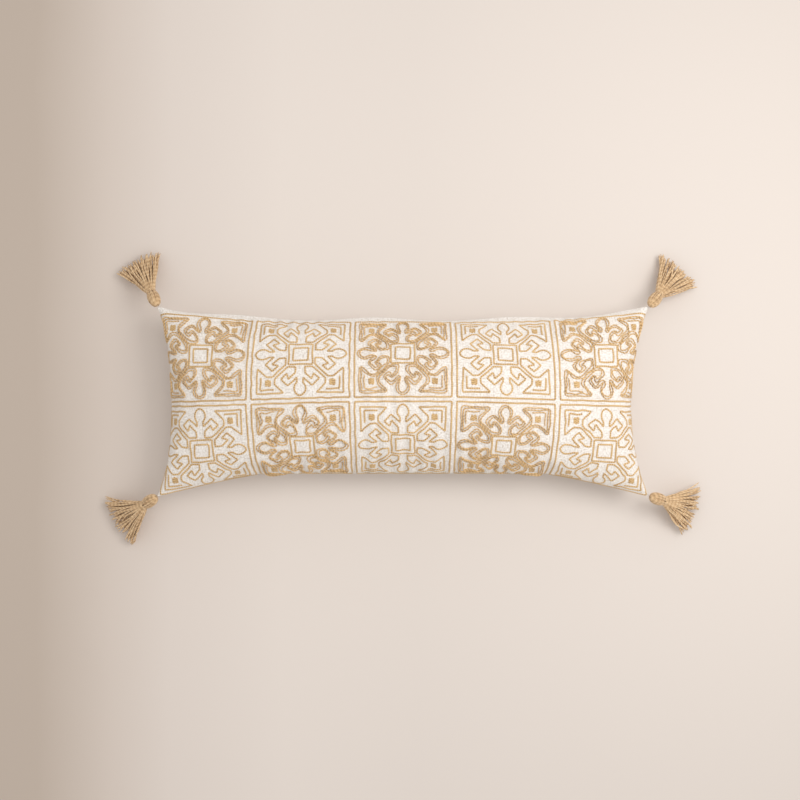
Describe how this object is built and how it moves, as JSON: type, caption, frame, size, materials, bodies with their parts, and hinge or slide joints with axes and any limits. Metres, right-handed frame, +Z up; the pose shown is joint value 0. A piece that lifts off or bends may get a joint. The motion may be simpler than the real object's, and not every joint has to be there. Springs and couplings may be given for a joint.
{
  "type": "lumbar throw pillow",
  "caption": "Long embroidered lumbar throw pillow with a zipped cover, a fibre-filled insert and a yarn tassel at each corner.",
  "frame": {"origin": "centre of the flat patch of the back panel that the pillow lies on, midway between the corners", "axes": "+X along the pillow, +Y across it away from the zipper, +Z up out of the embroidered front"},
  "size_m": [1.0746, 0.5242, 0.1684],
  "materials": {
    "cover_cloth": "matte woven cotton",
    "ticking": "matte plain weave",
    "fibre": "matte polyester fibre",
    "gold_thread": "low sheen twisted thread",
    "jute_yarn": "matte twisted yarn",
    "zip_tape": "matte woven tape",
    "zip_metal": "satin nickel"
  },
  "bodies": {
    "pillow": {"cover_front": "cover_cloth", "cover_back": "cover_cloth", "seam_overlock_thread": "gold_thread", "insert_front": "ticking", "insert_back": "ticking", "fibre_fill": "fibre", "tile_border_1_1": "gold_thread", "tile_border_1_2": "gold_thread", "tile_border_1_3": "gold_thread", "tile_border_1_4": "gold_thread", "tile_border_1_5": "gold_thread", "tile_border_2_1": "gold_thread", "tile_border_2_2": "gold_thread", "tile_border_2_3": "gold_thread", "tile_border_2_4": "gold_thread", "tile_border_2_5": "gold_thread", "zipper_tape_upper": "zip_tape", "zipper_tape_lower": "zip_tape", "zipper_teeth_upper": "zip_metal", "zipper_teeth_lower": "zip_metal", "zipper_top_stop_upper": "zip_metal", "zipper_top_stop_lower": "zip_metal", "zipper_bottom_stop": "zip_metal"},
    "slider": {"zipper_slider": "zip_metal"},
    "pull": {"zipper_pull": "zip_metal"},
    "tassel_back_left": {"tassel_back_left_loop": "jute_yarn", "tassel_back_left_head": "jute_yarn", "tassel_back_left_binding": "jute_yarn", "tassel_back_left_skirt": "jute_yarn"},
    "tassel_back_right": {"tassel_back_right_loop": "jute_yarn", "tassel_back_right_head": "jute_yarn", "tassel_back_right_binding": "jute_yarn", "tassel_back_right_skirt": "jute_yarn"},
    "tassel_front_left": {"tassel_front_left_loop": "jute_yarn", "tassel_front_left_head": "jute_yarn", "tassel_front_left_binding": "jute_yarn", "tassel_front_left_skirt": "jute_yarn"},
    "tassel_front_right": {"tassel_front_right_loop": "jute_yarn", "tassel_front_right_head": "jute_yarn", "tassel_front_right_binding": "jute_yarn", "tassel_front_right_skirt": "jute_yarn"}
  },
  "joints": [
    {"name": "zip_slide", "type": "slide", "parent": "pillow", "child": "slider", "axis": [-1, 0, 0], "range_m": [0, 0.448]},
    {"name": "pull_swing", "type": "hinge", "parent": "slider", "child": "pull", "pos_m": [0.224, -0.1265, 0.07], "axis": [-1, 0, 0], "range_deg": [-5, 150]},
    {"name": "tassel_back_left_swing", "type": "hinge", "parent": "pillow", "child": "tassel_back_left", "pos_m": [-0.43, 0.1655, 0.07], "axis": [0.8829, 0.4695, 0], "range_deg": [-57, 100]},
    {"name": "tassel_back_right_swing", "type": "hinge", "parent": "pillow", "child": "tassel_back_right", "pos_m": [0.43, 0.1655, 0.07], "axis": [0.7314, -0.682, 0], "range_deg": [-57, 100]},
    {"name": "tassel_front_left_swing", "type": "hinge", "parent": "pillow", "child": "tassel_front_left", "pos_m": [-0.43, -0.1655, 0.07], "axis": [-0.5299, 0.848, 0], "range_deg": [-57, 100]},
    {"name": "tassel_front_right_swing", "type": "hinge", "parent": "pillow", "child": "tassel_front_right", "pos_m": [0.43, -0.1655, 0.07], "axis": [-0.309, -0.9511, 0], "range_deg": [-57, 100]}
  ]
}
